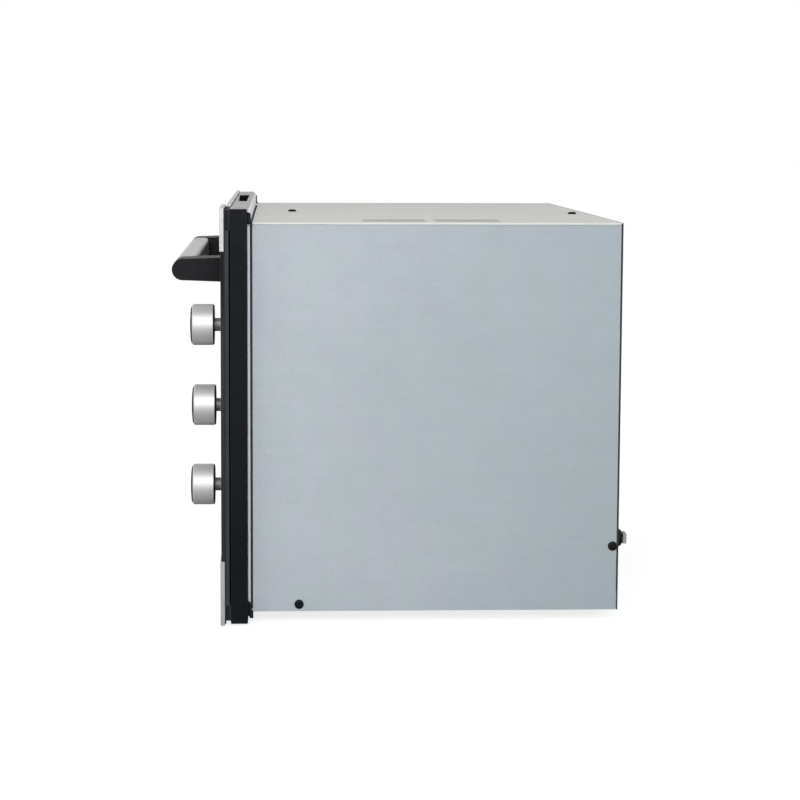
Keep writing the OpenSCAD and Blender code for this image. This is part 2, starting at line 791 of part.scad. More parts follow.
module hinge_bracket(x) {
    difference() {
        union() {
            bar_x(x, x + bracket_t, hinge_y, hinge_z, arm_r);
            block([x, bezel_front, hinge_z], [x + bracket_t, bezel_rear - 1.5, hinge_z + 14]);
            block([x, hinge_y + 1, hinge_z - 10], [x + bracket_t, bezel_rear - 1.5, hinge_z + eps]);
        }
        bar_x(x - eps, x + bracket_t + eps, hinge_y, hinge_z, pin_r + running_gap);
    }
}

module hinge_brackets() {
    color("silver") {
        hinge_bracket(opening_l);
        hinge_bracket(opening_r - bracket_t);
    }
}

// ---- Door ----

module door_glass() {
    color("#101114") difference() {
        union() {
            block([door_left, leaf_front, door_foot], [door_right, leaf_rear, strip_foot]);
            block([door_left + strip_t, leaf_front, strip_foot - eps],
                  [door_right - strip_t, leaf_rear, front_top - strip_t]);
        }
        handle_screw_holes();
    }
}

module handle_screw_holes() {
    for (x = handle_screw_x) bar_y(x, leaf_front - eps, leaf_rear + eps, handle_z, handle_bolt_r + 0.4);
}

handle_bolt_r = 2.5;
handle_head_r = handle_bolt_r + 2.5;
handle_head_h = 2.5;
handle_screw_inset = 32;                // from the handle's end, clear of the door frame's side walls
handle_screw_x = [handle_left + handle_screw_inset, handle_right - handle_screw_inset];

module door_strip() {
    edge_cap([door_left, strip_foot], [door_right, front_top], leaf_front, leaf_rear, top_wall = strip_t);
}

pane_margin = 22;                       // width of the door frame's rear flange

// Folded pan behind the glass, open to the front, with a window for the inner pane
module door_frame() {
    color("#202227") difference() {
        block([frame_l, leaf_rear, frame_foot], [frame_r, frame_rear, frame_top]);
        block([frame_l + frame_t, leaf_rear - eps, frame_foot + frame_t],
              [frame_r - frame_t, frame_rear - frame_t, frame_top - frame_t]);
        block([frame_l + pane_margin, leaf_rear, frame_foot + pane_margin],
              [frame_r - pane_margin, frame_rear + eps, frame_top - pane_margin]);
    }
}

pane_t = 4;

module door_inner_glass() {
    color("#5a6066") block([frame_l + 8, frame_rear - frame_t - pane_t, frame_foot + 8],
                           [frame_r - 8, frame_rear - frame_t, frame_top - 8]);
}

arm_l = 98;

module hinge_arm(x, pin_x) {
    union() {
        bar_x(x, x + arm_t, hinge_y, hinge_z, arm_r);
        block([x, hinge_y - arm_r, hinge_z], [x + arm_t, frame_rear - 1.5, hinge_z + arm_l]);
        bar_x(min(x + eps, pin_x), max(x + arm_t - eps, pin_x), hinge_y, hinge_z, pin_r);
    }
}

module hinge_arms() {
    color("gray") {
        hinge_arm(frame_l - arm_t, opening_l + 0.2);
        hinge_arm(frame_r, opening_r - 0.2);
    }
}

// End bracket outline, [y, z]: deep foot on the glass, round nose
module bracket_outline() {
    union() {
        translate([nose_y, handle_z]) circle(r = handle_r);
        polygon([
            [nose_y, handle_z - handle_r], [leaf_front, handle_z - handle_r - 1.7],
            [leaf_front, handle_z + handle_r + 1.7], [nose_y, handle_z + handle_r]
        ]);
    }
}

// Grip outline, [y, z]: round nose, flat back with rounded corners
module grip_outline() {
    corner_r = 4.5;
    union() {
        translate([nose_y, handle_z]) circle(r = handle_r);
        translate([nose_y, handle_z - handle_r]) square([grip_rear - nose_y - corner_r, handle_h]);
        translate([nose_y, handle_z - handle_r + corner_r]) square([grip_rear - nose_y, handle_h - 2 * corner_r]);
        for (z = [-1, 1])
            translate([grip_rear - corner_r, handle_z + z * (handle_r - corner_r)]) circle(r = corner_r);
    }
}

// Extrude a [y, z] outline along X
module along_x(x0, x1) {
    translate([x0, 0, 0]) rotate([90, 0, 90]) linear_extrude(x1 - x0) children();
}

module handle_bar() {
    color("silver") along_x(handle_left + handle_end_w, handle_right - handle_end_w) grip_outline();
}

bolt_l = 20;

module handle_brackets() {
    color("#202227") difference() {
        union() {
            along_x(handle_left, handle_left + handle_end_w) bracket_outline();
            along_x(handle_right - handle_end_w, handle_right) bracket_outline();
        }
        for (x = handle_screw_x)
            bar_y(x, leaf_front - bolt_l - 1, leaf_front + eps, handle_z, handle_bolt_r + running_gap);
    }
}

module handle_screws() {
    color("silver") for (x = handle_screw_x) union() {
        bar_y(x, leaf_front - bolt_l, leaf_rear + eps, handle_z, handle_bolt_r);
        bar_y(x, leaf_rear, leaf_rear + handle_head_h, handle_z, handle_head_r);
    }
}

// ---- Knobs ----

core_r = knob_r - 1.6;                  // knob body under the sleeve

module knob_core(i) {
    y = knob_rear + knob_sit[i];
    color("#17181b") difference() {
        union() {
            // rear rim, body under the sleeve, and a shallow domed cap
            bar_y(knob_x, y - rim_t, y, knob_z(i), knob_r - 0.6);
            bar_y(knob_x, y - rim_t - knob_l, y - rim_t + eps, knob_z(i), core_r);
            translate([knob_x, y - rim_t - knob_l, knob_z(i)]) rotate([90, 0, 0]) rotate_extrude()
                polygon([[0, -eps], [core_r, -eps], [core_r, 0.6], [core_r - 2.5, 1.5], [core_r - 9, cap_h], [0, cap_h]]);
        }
        bar_y(knob_x, y - 14, y + eps, knob_z(i), spindle_r + running_gap);
    }
}

module knob_sleeve(i) {
    y = knob_rear + knob_sit[i] - rim_t;
    color("gainsboro") translate([knob_x, y, knob_z(i)]) rotate([90, 0, 0]) rotate_extrude()
        polygon([
            [core_r + 0.02, 0], [knob_r, 0], [knob_r, knob_l - 1], [knob_r - 0.9, knob_l], [core_r + 0.02, knob_l]
        ]);
}

module knob_spindle(i) {
    y = knob_rear + knob_sit[i];
    color("lightgray") union() {
        bar_y(knob_x, y - 13, spindle_end, knob_z(i), spindle_r);
        bar_y(knob_x, y, gasket_front, knob_z(i), collar_r);
    }
}

module temperature_knob_core() { knob_core(0); }
module temperature_knob_sleeve() { knob_sleeve(0); }
module temperature_spindle() { knob_spindle(0); }
module function_knob_core() { knob_core(1); }
module function_knob_sleeve() { knob_sleeve(1); }
module function_spindle() { knob_spindle(1); }
module timer_knob_core() { knob_core(2); }
module timer_knob_sleeve() { knob_sleeve(2); }
module timer_spindle() { knob_spindle(2); }

// ---- Rack and tray ----

module wire_rack() {
    wires = 18;
    pitch = (rack_r - rack_l) / wires;
    color("silver") union() {
        for (x = [rack_l, rack_r]) bar_y(x, rack_front, rack_back, rack_z, rod_r);
        for (y = [rack_front, rack_back]) bar_x(rack_l, rack_r, y, rack_z, rod_r);
        for (x = [rack_l, rack_r], y = [rack_front, rack_back]) translate([x, y, rack_z]) sphere(r = rod_r);
        for (i = [1 : wires - 1])
            bar_y(rack_l + i * pitch, rack_front, rack_back, rack_z + rod_r + wire_r - 1, wire_r);
    }
}

tray_h = 22;
tray_t = 1;

module baking_tray() {
    color("dimgray") difference() {
        block([rack_l + 35, rack_front + 20, tray_z], [rack_r - 35, rack_back - 20, tray_z + tray_h]);
        block([rack_l + 35 + tray_t, rack_front + 20 + tray_t, tray_z + tray_t],
              [rack_r - 35 - tray_t, rack_back - 20 - tray_t, tray_z + tray_h + eps]);
    }
}

casing_side_right();
casing_side_left();
casing_top();
casing_base();
casing_back();
casing_screws();
front_plate();
front_seal();
bezel_frame();
corner_spacers();
top_crossbar();
compartment_divider();
support_rails();
cavity_liner();
insulation_blanket();
door_gasket();
deck_rails();
deck_stone();
upper_heater();
lower_heater();
rack_guides();
lamp_holder();
lamp_bulb();
lamp_lens();
fan_frame();
control_carrier();
control_gasket();
control_glass();
control_strip_top();
control_strip_foot();
control_bracket();
thermostat();
function_switch();
timer();
terminal_block();
cable_gland();
cord_clamp();
lower_fascia();
fascia_strip();
hinge_brackets();
door_glass();
door_strip();
door_frame();
door_inner_glass();
hinge_arms();
handle_bar();
handle_brackets();
handle_screws();
temperature_knob_core();
temperature_knob_sleeve();
temperature_spindle();
function_knob_core();
function_knob_sleeve();
function_spindle();
timer_knob_core();
timer_knob_sleeve();
timer_spindle();
wire_rack();
baking_tray();
fan_impeller();
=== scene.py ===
"""Compact built-in deck oven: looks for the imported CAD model. Metres, in the CAD frame."""

import json
import math

import bmesh
import bpy
from mathutils import Matrix, Quaternion, Vector


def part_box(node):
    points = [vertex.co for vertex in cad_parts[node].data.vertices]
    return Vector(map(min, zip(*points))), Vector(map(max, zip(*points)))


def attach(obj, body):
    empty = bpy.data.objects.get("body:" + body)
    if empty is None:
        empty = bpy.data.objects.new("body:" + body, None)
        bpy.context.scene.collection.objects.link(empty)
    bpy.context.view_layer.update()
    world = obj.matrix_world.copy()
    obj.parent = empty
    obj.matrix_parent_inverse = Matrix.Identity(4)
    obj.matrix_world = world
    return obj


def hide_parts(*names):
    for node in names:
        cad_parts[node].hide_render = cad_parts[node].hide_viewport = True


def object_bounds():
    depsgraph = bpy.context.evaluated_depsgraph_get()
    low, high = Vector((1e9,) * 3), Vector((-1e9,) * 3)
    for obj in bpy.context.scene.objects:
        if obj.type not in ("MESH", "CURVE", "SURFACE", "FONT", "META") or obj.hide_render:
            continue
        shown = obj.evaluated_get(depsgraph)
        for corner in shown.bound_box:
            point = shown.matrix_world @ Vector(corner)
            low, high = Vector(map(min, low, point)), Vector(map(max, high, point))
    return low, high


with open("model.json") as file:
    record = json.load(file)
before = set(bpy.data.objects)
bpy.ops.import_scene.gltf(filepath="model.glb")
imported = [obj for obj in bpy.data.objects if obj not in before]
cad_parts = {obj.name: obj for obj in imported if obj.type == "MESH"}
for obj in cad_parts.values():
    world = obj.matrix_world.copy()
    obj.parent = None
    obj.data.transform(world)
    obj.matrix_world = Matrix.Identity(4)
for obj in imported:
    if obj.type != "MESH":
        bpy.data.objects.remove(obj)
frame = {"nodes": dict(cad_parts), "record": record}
cad_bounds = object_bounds()

NODES = frame["nodes"]
SLOT_OF = {part["node"]: part["material_slot"] for part in frame["record"]["subparts"]}
BODY_OF = {node: body for body, nodes in frame["record"]["behaviour"]["bodies"].items() for node in nodes}
MM = 0.001


# ---------------------------------------------------------------- materials

def fill(node, **values):
    """Set a shader node's own sockets; an underscore in a key stands for a space."""
    for key, value in values.items():
        node.inputs[key.replace("_", " ")].default_value = value
    return node


def new_node(tree, kind, **settings):
    made = tree.nodes.new("ShaderNode" + kind)
    for key, value in settings.items():
        setattr(made, key, value)
    return made


class Shader:
    """A node-based material in object coordinates, so every pattern has its real size in metres."""

    def __init__(self, name, roughness=0.5, metallic=0.0, color=(0.5, 0.5, 0.5), **inputs):
        self.mat = bpy.data.materials.new(name)
        self.mat.use_nodes = True
        self.tree = self.mat.node_tree
        self.bsdf = self.tree.nodes["Principled BSDF"]
        self.coords = self.tree.nodes.new("ShaderNodeTexCoord").outputs["Object"]
        self.set("Roughness", roughness)
        self.set("Metallic", metallic)
        self.set("Base Color", (*color, 1))
        fill(self.bsdf, **inputs)

    def set(self, socket, value):
        self.bsdf.inputs[socket].default_value = value

    def node(self, kind, **settings):
        return new_node(self.tree, kind, **settings)

    def link(self, source, target):
        self.tree.links.new(source, target)
        return target

    def stretched(self, stretch):
        mapping = fill(self.node("Mapping"), Scale=stretch)
        self.link(self.coords, mapping.inputs["Vector"])
        return mapping.outputs["Vector"]

    def noise(self, scale, detail=4.0, rough=0.55, stretch=(1, 1, 1), distortion=0.0):
        made = fill(self.node("TexNoise"), Scale=scale, Detail=detail, Roughness=rough, Distortion=distortion)
        self.link(self.stretched(stretch), made.inputs["Vector"])
        return made.outputs["Fac"]

    def cells(self, scale, warp=0.0, output="Color"):
        made = fill(self.node("TexVoronoi"), Scale=scale)
        vector = self.coords
        if warp:
            shift = fill(self.node("TexNoise"), Scale=scale * 0.7)
            self.link(vector, shift.inputs["Vector"])
            add = fill(self.node("MixRGB", blend_type="LINEAR_LIGHT"), Fac=warp)
            self.link(vector, add.inputs["Color1"])
            self.link(shift.outputs["Color"], add.inputs["Color2"])
            vector = add.outputs["Color"]
        self.link(vector, made.inputs["Vector"])
        return made.outputs[output]

    def along(self, axis):
        """The coordinate on one axis, in metres."""
        split = self.node("SeparateXYZ")
        self.link(self.coords, split.inputs["Vector"])
        return split.outputs[axis]

    def remap(self, value, low, high, from_low=0.3, from_high=0.7):
        made = fill(self.node("MapRange"), From_Min=from_low, From_Max=from_high, To_Min=low, To_Max=high)
        self.link(value, made.inputs["Value"])
        return made.outputs["Result"]

    def ramp(self, value, *stops):
        made = self.node("ValToRGB")
        elements = made.color_ramp.elements
        while len(elements) < len(stops):
            elements.new(0.5)
        for element, (position, color) in zip(elements, stops):
            element.position = position
            element.color = (*color, 1)
        self.link(value, made.inputs["Fac"])
        return made.outputs["Color"]

    def mix(self, factor, first, second, blend="MIX"):
        made = self.node("MixRGB", blend_type=blend)
        for socket, value in (("Fac", factor), ("Color1", first), ("Color2", second)):
            if isinstance(value, bpy.types.NodeSocket):
                self.link(value, made.inputs[socket])
            elif isinstance(value, tuple):
                made.inputs[socket].default_value = (*value, 1)
            else:
                made.inputs[socket].default_value = value
        return made.outputs["Color"]

    def math(self, operation, first, second):
        made = self.node("Math", operation=operation)
        for socket, value in zip(made.inputs, (first, second)):
            if isinstance(value, bpy.types.NodeSocket):
                self.link(value, socket)
            else:
                socket.default_value = value
        return made.outputs[0]

    def edges(self, radius):
        """1 on worn edges and corners, 0 on flat faces."""
        bevel = fill(self.node("Bevel", samples=4), Radius=radius)
        geometry = self.node("NewGeometry")
        dot = self.node("VectorMath", operation="DOT_PRODUCT")
        self.link(bevel.outputs["Normal"], dot.inputs[0])
        self.link(geometry.outputs["Normal"], dot.inputs[1])
        return self.remap(dot.outputs["Value"], 1.0, 0.0, 0.8, 0.99)

    def color(self, value):
        self.link(value, self.bsdf.inputs["Base Color"])

    def roughness(self, value):
        self.link(value, self.bsdf.inputs["Roughness"])

    def bump(self, height, strength, distance):
        made = fill(self.node("Bump"), Strength=strength, Distance=distance)
        self.link(height, made.inputs["Height"])
        self.link(made.outputs["Normal"], self.bsdf.inputs["Normal"])


def zinc_sheet(name, dark, light, tints, spangle=46.0, tint_strength=0.55, rear_shade=None):
    """Galvanised sheet: zinc crystals with faint tints, drag lines from the rolls and fine speckle.

    The optional last colour is painted shade: the sheet is blended to it towards its rear edge, standing in
    for the light falling off across the panel.
    """
    s = Shader(name, metallic=0.18)
    clouds = s.noise(5.5, detail=5)
    crystal = s.node("SeparateColor")
    s.link(s.cells(spangle, warp=0.02), crystal.inputs["Color"])
    base = s.ramp(clouds, (0.25, dark), (0.75, light))
    tint = s.ramp(s.math("ADD", s.math("MULTIPLY", crystal.outputs[0], 0.35), s.noise(14, detail=3)),
                  (0.25, tints[0]), (0.62, tints[1]), (0.95, tints[2]))
    base = s.mix(tint_strength, base, tint)
    # painted shade: the sheet darkens towards its rear edge, standing in for the light falling off across it
    if rear_shade:
        base = s.mix(s.remap(s.along("Y"), 0.0, 0.55, *PANEL_Y), base, rear_shade)
    streaks = s.noise(1.0, detail=6, stretch=(30, 9, 260))
    streak_tone = s.ramp(streaks, (0.35, (0.5, 0.5, 0.5)), (0.65, (0.62, 0.62, 0.62)))
    base = s.mix(0.22, base, streak_tone, "SOFT_LIGHT")
    specks = s.remap(s.noise(420, detail=3), 0, 1, 0.6, 0.7)
    base = s.mix(s.math("MULTIPLY", specks, 0.3), base, (0.28, 0.31, 0.34))
    worn = s.math("MULTIPLY", s.edges(0.0009), 0.45)
    s.color(s.mix(worn, base, (0.78, 0.8, 0.82)))
    facet = s.math("MULTIPLY", crystal.outputs[1], 0.05)
    s.roughness(s.math("ADD", s.remap(s.noise(60, detail=4), 0.55, 0.68), facet))
    s.bump(s.math("ADD", s.noise(260, detail=5), s.math("MULTIPLY", streaks, 0.6)), 0.16, 0.00025)
    return s.mat


def brushed_metal(name, dark, light, along, roughness=(0.24, 0.36), metallic=1.0, grain=2600):
    """Brushed or turned metal; along is the axis that the brush followed."""
    s = Shader(name, metallic=metallic)
    stretch = tuple(0.006 if axis == along else 1.0 for axis in "XYZ")
    lines = s.noise(grain, detail=3, stretch=stretch)
    wide = s.noise(grain / 9, detail=3, stretch=stretch)
    both = s.math("ADD", s.math("MULTIPLY", lines, 0.6), s.math("MULTIPLY", wide, 0.4))
    base = s.ramp(both, (0.3, dark), (0.7, light))
    smudge = s.noise(24, detail=4)
    base = s.mix(s.remap(smudge, 0.0, 0.12), base, (0.5, 0.5, 0.5))
    s.color(s.mix(s.math("MULTIPLY", s.edges(0.0004), 0.4), base, (0.9, 0.9, 0.9)))
    s.roughness(s.math("ADD", s.remap(lines, *roughness), s.remap(smudge, 0.0, 0.06)))
    s.bump(lines, 0.12, 0.0001)
    return s.mat


def enamel(name, dark, light, roughness=(0.26, 0.36), speck=0.0, wear=(0.16, 0.16, 0.17), gloss=0.3):
    """Enamelled or stove-painted steel with orange peel, faint dust and lighter worn edges."""
    s = Shader(name, Specular_IOR_Level=gloss)
    base = s.ramp(s.noise(18, detail=5), (0.3, dark), (0.7, light))
    if speck:
        dots = s.remap(s.cells(620, output="Distance"), 1.0, 0.0, 0.1, 0.2)
        base = s.mix(s.math("MULTIPLY", dots, speck), base, (0.4, 0.42, 0.45))
    s.color(s.mix(s.math("MULTIPLY", s.edges(0.0008), 0.5), base, wear))
    s.roughness(s.remap(s.noise(70, detail=6), *roughness))
    s.bump(s.noise(420, detail=2), 0.1, 0.0003)
    return s.mat


def moulded_plastic(name, dark, light, wear):
    """Moulded plastic with a spark-eroded grain and slightly polished edges."""
    s = Shader(name, Specular_IOR_Level=0.16)
    base = s.ramp(s.noise(40, detail=4), (0.3, dark), (0.7, light))
    s.color(s.mix(s.math("MULTIPLY", s.edges(0.0006), 0.5), base, wear))
    s.roughness(s.remap(s.noise(120, detail=4), 0.42, 0.56))
    s.bump(s.noise(1500, detail=3), 0.35, 0.0001)
    return s.mat


def polished_glass(name, color, alpha=None):
    """Glass with finger smears and faint wipe marks in its gloss."""
    s = Shader(name, color=color, IOR=1.5, Coat_Weight=0.4, Coat_Roughness=0.04)
    smears = s.noise(16, detail=6, stretch=(1, 1, 2.5), distortion=0.6)
    s.roughness(s.remap(smears, 0.03, 0.14))
    if alpha is None:
        s.color(s.ramp(s.noise(9, detail=4), (0.3, color), (0.7, tuple(c * 1.5 + 0.002 for c in color))))
    else:
        s.color(s.ramp(smears, (0.3, color), (0.7, tuple(min(1, c * 1.08) for c in color))))
        s.set("Transmission Weight", 1.0)
        s.set("Alpha", alpha)
    return s.mat


def rough_mineral(name, dark, light, grain, speckle, roughness=(0.75, 0.95), bump=0.6, depth=0.0006):
    """Stone, ceramic or fibre: grain at one scale and specks at another."""
    s = Shader(name)
    base = s.ramp(s.noise(grain, detail=8, rough=0.65), (0.3, dark), (0.7, light))
    dots = s.remap(s.cells(grain * 4, output="Distance"), 1.0, 0.0, 0.12, 0.3)
    s.color(s.mix(s.math("MULTIPLY", dots, speckle), base, tuple(c * 0.45 for c in dark)))
    s.roughness(s.remap(s.noise(grain * 2, detail=3), *roughness))
    s.bump(s.noise(grain * 3, detail=6), bump, depth)
    return s.mat


def wool_blanket():
    """Mineral wool: matted fibres in two directions."""
    s = Shader("wool", roughness=0.95, Sheen_Weight=0.3)
    fibres = s.math("MAXIMUM", s.noise(700, stretch=(1, 0.06, 1), distortion=1.5),
                    s.noise(700, stretch=(0.06, 1, 1), distortion=1.5))
    s.color(s.ramp(fibres, (0.4, (0.42, 0.36, 0.2)), (0.7, (0.8, 0.74, 0.5))))
    s.roughness(s.remap(fibres, 0.85, 1.0))
    s.bump(fibres, 0.9, 0.0015)
    return s.mat


def soft_rubber(name, dark, light):
    """Foam or silicone with open pores."""
    s = Shader(name)
    s.color(s.ramp(s.noise(112.5, detail=5), (0.3, dark), (0.7, light)))
    s.roughness(s.remap(s.noise(90, detail=3), 0.62, 0.85))
    s.bump(s.cells(900, output="Distance"), 0.4, 0.0003)
    return s.mat


def printed_ink():
    """Screen-printed marks: pale ink with a slightly uneven film."""
    s = Shader("ink")
    s.color(s.ramp(s.noise(500, detail=3), (0.3, (0.62, 0.62, 0.62)), (0.7, (0.75, 0.75, 0.75))))
    s.roughness(s.remap(s.noise(300, detail=2), 0.4, 0.55))
    return s.mat


PANEL_Y = tuple(corner[1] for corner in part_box("casing_side_right"))
ZINC_TINTS = ((0.46, 0.45, 0.56), (0.47, 0.51, 0.56), (0.43, 0.525, 0.52))
MATERIALS = {
    # the side panels are darkened towards the rear: painted shade for the light falling off across them
    "galvanised": zinc_sheet("galvanised", (0.4, 0.432, 0.474), (0.52, 0.551, 0.596), ZINC_TINTS,
                             rear_shade=(0.31, 0.385, 0.41)),
    # zinc_top is the side panels' zinc made much lighter and less tinted: painted highlight for the light
    # that the top catches
    "zinc_top": zinc_sheet("zinc_top", (0.68, 0.68, 0.66), (0.745, 0.745, 0.72),
                           ((0.66, 0.66, 0.66), (0.71, 0.7, 0.68), (0.74, 0.73, 0.69)), tint_strength=0.1),
    # zinc_plate is a far lighter zinc than the side panels': partly the flange's own pale tone, partly
    # painted light to make up for the shade the bezel casts on it
    "zinc_plate": zinc_sheet("zinc_plate", (0.84, 0.85, 0.86), (0.92, 0.93, 0.94),
                             ((0.84, 0.87, 0.9), (0.9, 0.9, 0.9), (0.92, 0.91, 0.89)),
                             spangle=120, tint_strength=0.2),
    "back_sheet": enamel("back_sheet", (0.022, 0.026, 0.027), (0.034, 0.038, 0.039), (0.38, 0.5),
                         wear=(0.12, 0.13, 0.13)),
    "black_screw": enamel("black_screw", (0.003, 0.0033, 0.004), (0.007, 0.0075, 0.009), (0.3, 0.45),
                          wear=(0.03, 0.03, 0.032), gloss=0.14),
    "bezel_black": enamel("bezel_black", (0.0055, 0.0068, 0.009), (0.0085, 0.0098, 0.0125), (0.2, 0.28),
                          wear=(0.045, 0.047, 0.052), gloss=0.12),
    "black_plastic": moulded_plastic("black_plastic", (0.006, 0.0064, 0.008), (0.0095, 0.01, 0.012),
                                     wear=(0.05, 0.05, 0.053)),
    "grey_plastic": moulded_plastic("grey_plastic", (0.03, 0.032, 0.036), (0.045, 0.047, 0.052),
                                    wear=(0.1, 0.1, 0.105)),
    "dark_foam": soft_rubber("dark_foam", (0.02, 0.023, 0.027), (0.04, 0.044, 0.05)),
    "black_glass": polished_glass("black_glass", (0.006, 0.006, 0.0075)),
    "pane_glass": polished_glass("pane_glass", (0.72, 0.78, 0.78), alpha=0.5),
    "brushed_steel": brushed_metal("brushed_steel", (0.48, 0.48, 0.48), (0.6, 0.6, 0.595), "X",
                                   (0.34, 0.46), 0.7),
    "knob_metal": brushed_metal("knob_metal", (0.69, 0.695, 0.7), (0.73, 0.735, 0.74), "Z",
                                (0.5, 0.56), 0.7, 6000),
    "handle_metal": brushed_metal("handle_metal", (0.42, 0.41, 0.4), (0.56, 0.55, 0.54), "X",
                                  (0.3, 0.42), 0.8),
    "spindle_metal": brushed_metal("spindle_metal", (0.3, 0.3, 0.31), (0.4, 0.4, 0.41), "Z",
                                   (0.5, 0.62), 0.6),
    "cavity_enamel": enamel("cavity_enamel", (0.028, 0.032, 0.04), (0.045, 0.05, 0.06), (0.14, 0.26),
                            speck=0.55),
    "wool": wool_blanket(),
    "gasket_rubber": soft_rubber("gasket_rubber", (0.009, 0.009, 0.01), (0.02, 0.02, 0.021)),
    "stone": rough_mineral("stone", (0.5, 0.4, 0.29), (0.68, 0.57, 0.44), 60, 0.5),
    "heater_sheath": brushed_metal("heater_sheath", (0.1, 0.09, 0.085), (0.24, 0.21, 0.19), "Y",
                                   (0.4, 0.6), 0.8, 700),
    "chrome_wire": brushed_metal("chrome_wire", (0.66, 0.66, 0.67), (0.8, 0.8, 0.81), "Y", (0.1, 0.2)),
    "ceramic": rough_mineral("ceramic", (0.66, 0.62, 0.54), (0.78, 0.75, 0.68), 80, 0.12,
                             (0.3, 0.45), 0.1, 0.0002),
    "lamp_glass": polished_glass("lamp_glass", (0.9, 0.93, 0.94), alpha=0.45),
    "tray_steel": enamel("tray_steel", (0.03, 0.03, 0.033), (0.05, 0.05, 0.053), (0.3, 0.42), speck=0.3),
}
INK = printed_ink()


# ---------------------------------------------------------------- geometry helpers

WELD_REACH = 2e-6                   # corners closer than this are one
FLAT_ANGLE = math.radians(0.5)      # faces that meet at less are one flat face
CORNER_ANGLE = math.radians(40)     # outer corners sharper than this are rounded
BOX_REACH = 1e-5                    # an edge this near its node's box lies on the box
UPRIGHT_SHARE = 0.2                 # how much of a frame's rounding its uprights get


def add_piece(name, mesh, body, slot, material=None):
    piece = bpy.data.objects.new(name, mesh)
    bpy.context.scene.collection.objects.link(piece)
    mesh.materials.clear()
    mesh.materials.append(material or MATERIALS[slot])
    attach(piece, body)
    return piece


def frame_weight(node):
    """How far a frame's edges are rounded: along its top and foot, a little on its uprights, never inside."""
    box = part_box(node)

    def on_box(ends, axis):
        return all(min(abs(end[axis] - side[axis]) for side in box) < BOX_REACH for end in ends)

    def weight(edge):
        ends = [vert.co for vert in edge.verts]
        if sum(on_box(ends, axis) for axis in range(3)) < 2:
            return 0
        return 1 if abs(ends[0].x - ends[1].x) > BOX_REACH else UPRIGHT_SHARE
    return weight


def clean_copy(node, weight_of):
    """The CAD node's mesh, welded, with whole flat faces and its outer corners marked for rounding."""
    bm = bmesh.new()
    bm.from_mesh(NODES[node].data)
    bmesh.ops.remove_doubles(bm, verts=bm.verts, dist=WELD_REACH)
    bmesh.ops.dissolve_limit(bm, angle_limit=FLAT_ANGLE, verts=bm.verts, edges=bm.edges)
    weight = bm.edges.layers.float.new("bevel_weight_edge")
    for edge in bm.edges:
        if len(edge.link_faces) == 2 and edge.is_convex and edge.calc_face_angle() > CORNER_ANGLE:
            edge[weight] = weight_of(edge) if weight_of else 1
    mesh = bpy.data.meshes.new(node + "_mesh")
    bm.to_mesh(mesh)
    bm.free()
    return mesh


def rounded(node, radius, segments=2, weight_of=None):
    """Replace a CAD node by a copy whose outer corners are rounded by radius millimetres."""
    piece = add_piece(node + "_finished", clean_copy(node, weight_of), BODY_OF[node], SLOT_OF[node])
    bevel = piece.modifiers.new("edges", "BEVEL")
    bevel.width = radius * MM
    bevel.segments = segments
    bevel.limit_method = "WEIGHT"
    bevel.use_clamp_overlap = True
    piece.data.polygons.foreach_set("use_smooth", [True] * len(piece.data.polygons))
    weighted = piece.modifiers.new("normals", "WEIGHTED_NORMAL")
    weighted.weight = 100
    bpy.context.view_layer.update()
    baked = bpy.data.meshes.new_from_object(piece.evaluated_get(bpy.context.evaluated_depsgraph_get()))
    piece.modifiers.clear()
    piece.data = baked
    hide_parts(node)


# ---------------------------------------------------------------- rounded nodes

# radius in millimetres; the bezel has its own line, and other nodes keep their CAD mesh
ROUNDED = {
    "casing_side_right": 0.7, "casing_side_left": 0.7, "casing_top": 0.35, "casing_base": 0.4,
    "casing_back": 0.4, "casing_screws": 0.12, "front_plate": 0.5, "front_seal": 0.5, "corner_spacers": 0.6,
    "door_gasket": 0.6, "deck_rails": 0.4, "deck_stone": 1.5, "fan_frame": 0.5, "fan_impeller": 0.3,
    "control_carrier": 0.5, "control_gasket": 0.2, "control_glass": 0.6, "control_strip_top": 0.3,
    "control_strip_foot": 0.3, "control_bracket": 0.3, "thermostat": 0.8, "function_switch": 0.8,
    "timer": 0.8, "terminal_block": 0.6, "cable_gland": 0.4, "cord_clamp": 0.5, "lower_fascia": 0.6,
    "fascia_strip": 0.3,
    "hinge_brackets": 0.4, "door_glass": 0.6, "door_strip": 0.3, "door_frame": 0.5, "door_inner_glass": 0.5,
    "hinge_arms": 0.4, "handle_bar": 0.3, "handle_brackets": 1.6, "handle_screws": 0.3, "baking_tray": 0.4,
    "cavity_liner": 0.4, "temperature_knob_core": 0.3, "function_knob_core": 0.3, "timer_knob_core": 0.3,
    "temperature_knob_sleeve": 0.4, "function_knob_sleeve": 0.4, "timer_knob_sleeve": 0.4,
    "temperature_spindle": 0.3, "function_spindle": 0.3, "timer_spindle": 0.3,
}

for node_name, edge_radius in ROUNDED.items():
    rounded(node_name, edge_radius)
rounded("bezel_frame", 2.2, segments=4, weight_of=frame_weight("bezel_frame"))
for node_name, node_object in NODES.items():
    node_object.data.materials.clear()
    node_object.data.materials.append(MATERIALS[SLOT_OF[node_name]])


# ---------------------------------------------------------------- details

SLOT_FIELD_X = (0.09, 0.012)        # the slots lie between these distances from the top's right edge
SLOT_FIELD_Y = 0.09                 # and this far in from its front and rear edges
FIGURE_SIZE = 0.0062
FIGURE_DEPTH = 0.00003
FIGURE_GAP = 0.013                  # from a knob's rim to the middle of a figure
TICK_GAP = 0.0035                   # from a knob's rim to a tick
TICK_LENGTHS = (0.0042, 0.0024)     # at a figure, and between two
TICK_WIDTH = 0.0007
INK_DEPTH = 0.00006
INK_OFFSET = 0.00004                # printed marks stand this far in front of the glass
POINTER_WIDTH = 0.0016
POINTER_DEPTH = 0.0012
POINTER_RISE = 0.0004               # from the cap's front to the pointer's middle
POINTER_CORNER = 0.0003


